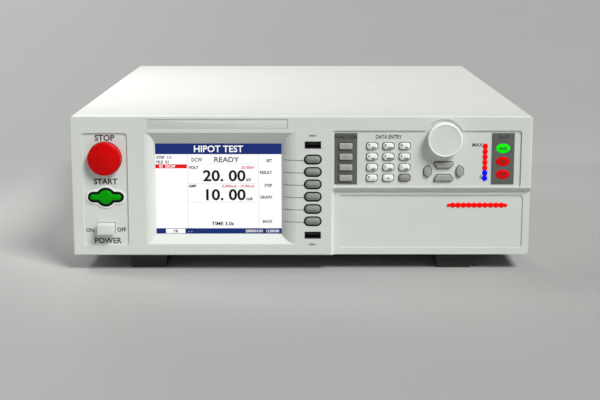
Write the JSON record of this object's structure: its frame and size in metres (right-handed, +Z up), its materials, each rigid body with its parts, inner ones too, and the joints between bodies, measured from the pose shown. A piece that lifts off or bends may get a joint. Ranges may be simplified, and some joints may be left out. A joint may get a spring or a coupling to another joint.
{
  "type": "hipot tester",
  "caption": "Bench-top hipot tester: 3U metal case with a moulded front bezel, screen, keypad, tuning knob, STOP and START buttons, and rear output terminals.",
  "frame": {"origin": "middle of the footprint, on the surface that the feet stand on", "axes": "+X to the right as seen from the front, +Y to the back, +Z up"},
  "size_m": [0.4332, 0.4804, 0.1485],
  "materials": {
    "moulded_bezel": "fine moulded texture",
    "painted_cover": "satin powder coat",
    "zinc_sheet": "zinc plated",
    "rear_paint": "satin powder coat",
    "foot_plastic": "moulded",
    "screw_steel": "nickel plated",
    "screen_glass": "lit display",
    "tin_plate": "plated",
    "circuit_board": "solder mask",
    "switch_black": "moulded",
    "collar_black": "moulded",
    "legend_grey": "printed sheet",
    "encoder_metal": "plated",
    "lens_green": "lit lens",
    "lens_red": "lens",
    "lamp_red": "lit lamp",
    "lamp_blue": "lit lamp",
    "socket_black": "moulded",
    "fan_black": "moulded",
    "guard_wire": "plated wire",
    "output_insulator": "moulded",
    "terminal_black": "moulded",
    "port_metal": "tin plated",
    "core_steel": "varnished laminations",
    "supply_metal": "bare sheet",
    "knob_plastic": "moulded",
    "button_red": "moulded",
    "button_green": "moulded",
    "button_white": "moulded",
    "soft_key_grey": "moulded",
    "function_grey": "moulded",
    "data_white": "moulded",
    "enter_grey": "moulded",
    "arrow_grey": "moulded"
  },
  "bodies": {
    "chassis": {"front_bezel": "moulded_bezel", "top_cover": "painted_cover", "base_chassis": "zinc_sheet", "rear_panel": "rear_paint", "feet": "foot_plastic", "case_screws": "screw_steel", "lcd_screen": "screen_glass", "lcd_module": "tin_plate", "key_boards": "circuit_board", "key_switches": "switch_black", "key_collars": "collar_black", "legend_plates": "legend_grey", "encoder": "encoder_metal", "pass_lens": "lens_green", "fault_lenses": "lens_red", "red_lamps": "lamp_red", "blue_lamps": "lamp_blue", "stop_switch": "switch_black", "power_switch": "switch_black", "usb_sockets": "socket_black", "fan_frame": "fan_black", "fan_guard": "guard_wire", "mains_inlet": "socket_black", "hv_output": "output_insulator", "ground_terminals": "terminal_black", "interface_ports": "port_metal", "hv_transformer": "core_steel", "control_board": "circuit_board", "power_supply": "supply_metal"},
    "soft_key_1": {"soft_key_1": "soft_key_grey"},
    "soft_key_2": {"soft_key_2": "soft_key_grey"},
    "soft_key_3": {"soft_key_3": "soft_key_grey"},
    "soft_key_4": {"soft_key_4": "soft_key_grey"},
    "soft_key_5": {"soft_key_5": "soft_key_grey"},
    "soft_key_6": {"soft_key_6": "soft_key_grey"},
    "function_key_1": {"function_key_1": "function_grey"},
    "function_key_2": {"function_key_2": "function_grey"},
    "function_key_3": {"function_key_3": "function_grey"},
    "function_key_4": {"function_key_4": "function_grey"},
    "number_key_0": {"number_key_0": "data_white"},
    "number_key_1": {"number_key_1": "data_white"},
    "number_key_2": {"number_key_2": "data_white"},
    "number_key_3": {"number_key_3": "data_white"},
    "number_key_4": {"number_key_4": "data_white"},
    "number_key_5": {"number_key_5": "data_white"},
    "number_key_6": {"number_key_6": "data_white"},
    "number_key_7": {"number_key_7": "data_white"},
    "number_key_8": {"number_key_8": "data_white"},
    "number_key_9": {"number_key_9": "data_white"},
    "point_key": {"point_key": "data_white"},
    "enter_key": {"enter_key": "enter_grey"},
    "arrow_up": {"arrow_up": "arrow_grey"},
    "arrow_left": {"arrow_left": "arrow_grey"},
    "arrow_down": {"arrow_down": "arrow_grey"},
    "arrow_right": {"arrow_right": "arrow_grey"},
    "stop_button": {"stop_button": "button_red"},
    "start_button": {"start_button": "button_green"},
    "power_button": {"power_button": "button_white"},
    "tuning_knob": {"tuning_knob": "knob_plastic"},
    "fan_rotor": {"fan_rotor": "fan_black"}
  },
  "joints": [
    {"name": "soft_key_1_press", "type": "slide", "parent": "chassis", "child": "soft_key_1", "axis": [0, 1, 0], "range_m": [0, 0.001], "stiffness_N_per_m": 150},
    {"name": "soft_key_2_press", "type": "slide", "parent": "chassis", "child": "soft_key_2", "axis": [0, 1, 0], "range_m": [0, 0.001], "stiffness_N_per_m": 150},
    {"name": "soft_key_3_press", "type": "slide", "parent": "chassis", "child": "soft_key_3", "axis": [0, 1, 0], "range_m": [0, 0.001], "stiffness_N_per_m": 150},
    {"name": "soft_key_4_press", "type": "slide", "parent": "chassis", "child": "soft_key_4", "axis": [0, 1, 0], "range_m": [0, 0.001], "stiffness_N_per_m": 150},
    {"name": "soft_key_5_press", "type": "slide", "parent": "chassis", "child": "soft_key_5", "axis": [0, 1, 0], "range_m": [0, 0.001], "stiffness_N_per_m": 150},
    {"name": "soft_key_6_press", "type": "slide", "parent": "chassis", "child": "soft_key_6", "axis": [0, 1, 0], "range_m": [0, 0.001], "stiffness_N_per_m": 150},
    {"name": "function_key_1_press", "type": "slide", "parent": "chassis", "child": "function_key_1", "axis": [0, 1, 0], "range_m": [0, 0.001], "stiffness_N_per_m": 150},
    {"name": "function_key_2_press", "type": "slide", "parent": "chassis", "child": "function_key_2", "axis": [0, 1, 0], "range_m": [0, 0.001], "stiffness_N_per_m": 150},
    {"name": "function_key_3_press", "type": "slide", "parent": "chassis", "child": "function_key_3", "axis": [0, 1, 0], "range_m": [0, 0.001], "stiffness_N_per_m": 150},
    {"name": "function_key_4_press", "type": "slide", "parent": "chassis", "child": "function_key_4", "axis": [0, 1, 0], "range_m": [0, 0.001], "stiffness_N_per_m": 150},
    {"name": "number_key_0_press", "type": "slide", "parent": "chassis", "child": "number_key_0", "axis": [0, 1, 0], "range_m": [0, 0.001], "stiffness_N_per_m": 150},
    {"name": "number_key_1_press", "type": "slide", "parent": "chassis", "child": "number_key_1", "axis": [0, 1, 0], "range_m": [0, 0.001], "stiffness_N_per_m": 150},
    {"name": "number_key_2_press", "type": "slide", "parent": "chassis", "child": "number_key_2", "axis": [0, 1, 0], "range_m": [0, 0.001], "stiffness_N_per_m": 150},
    {"name": "number_key_3_press", "type": "slide", "parent": "chassis", "child": "number_key_3", "axis": [0, 1, 0], "range_m": [0, 0.001], "stiffness_N_per_m": 150},
    {"name": "number_key_4_press", "type": "slide", "parent": "chassis", "child": "number_key_4", "axis": [0, 1, 0], "range_m": [0, 0.001], "stiffness_N_per_m": 150},
    {"name": "number_key_5_press", "type": "slide", "parent": "chassis", "child": "number_key_5", "axis": [0, 1, 0], "range_m": [0, 0.001], "stiffness_N_per_m": 150},
    {"name": "number_key_6_press", "type": "slide", "parent": "chassis", "child": "number_key_6", "axis": [0, 1, 0], "range_m": [0, 0.001], "stiffness_N_per_m": 150},
    {"name": "number_key_7_press", "type": "slide", "parent": "chassis", "child": "number_key_7", "axis": [0, 1, 0], "range_m": [0, 0.001], "stiffness_N_per_m": 150},
    {"name": "number_key_8_press", "type": "slide", "parent": "chassis", "child": "number_key_8", "axis": [0, 1, 0], "range_m": [0, 0.001], "stiffness_N_per_m": 150},
    {"name": "number_key_9_press", "type": "slide", "parent": "chassis", "child": "number_key_9", "axis": [0, 1, 0], "range_m": [0, 0.001], "stiffness_N_per_m": 150},
    {"name": "point_key_press", "type": "slide", "parent": "chassis", "child": "point_key", "axis": [0, 1, 0], "range_m": [0, 0.001], "stiffness_N_per_m": 150},
    {"name": "enter_key_press", "type": "slide", "parent": "chassis", "child": "enter_key", "axis": [0, 1, 0], "range_m": [0, 0.001], "stiffness_N_per_m": 150},
    {"name": "arrow_up_press", "type": "slide", "parent": "chassis", "child": "arrow_up", "axis": [0, 1, 0], "range_m": [0, 0.001], "stiffness_N_per_m": 150},
    {"name": "arrow_left_press", "type": "slide", "parent": "chassis", "child": "arrow_left", "axis": [0, 1, 0], "range_m": [0, 0.001], "stiffness_N_per_m": 150},
    {"name": "arrow_down_press", "type": "slide", "parent": "chassis", "child": "arrow_down", "axis": [0, 1, 0], "range_m": [0, 0.001], "stiffness_N_per_m": 150},
    {"name": "arrow_right_press", "type": "slide", "parent": "chassis", "child": "arrow_right", "axis": [0, 1, 0], "range_m": [0, 0.001], "stiffness_N_per_m": 150},
    {"name": "stop_press", "type": "slide", "parent": "chassis", "child": "stop_button", "axis": [0, 1, 0], "range_m": [0, 0.003], "stiffness_N_per_m": 400},
    {"name": "start_press", "type": "slide", "parent": "chassis", "child": "start_button", "axis": [0, 1, 0], "range_m": [0, 0.002], "stiffness_N_per_m": 250},
    {"name": "power_press", "type": "slide", "parent": "chassis", "child": "power_button", "axis": [0, 1, 0], "range_m": [0, 0.003], "stiffness_N_per_m": 300},
    {"name": "knob_turn", "type": "hinge", "parent": "chassis", "child": "tuning_knob", "pos_m": [0.133, -0.23235, 0.1269], "axis": [0, 1, 0], "continuous": true},
    {"name": "fan_spin", "type": "hinge", "parent": "chassis", "child": "fan_rotor", "pos_m": [0.095, 0.19765, 0.0815], "axis": [0, 1, 0], "continuous": true}
  ]
}
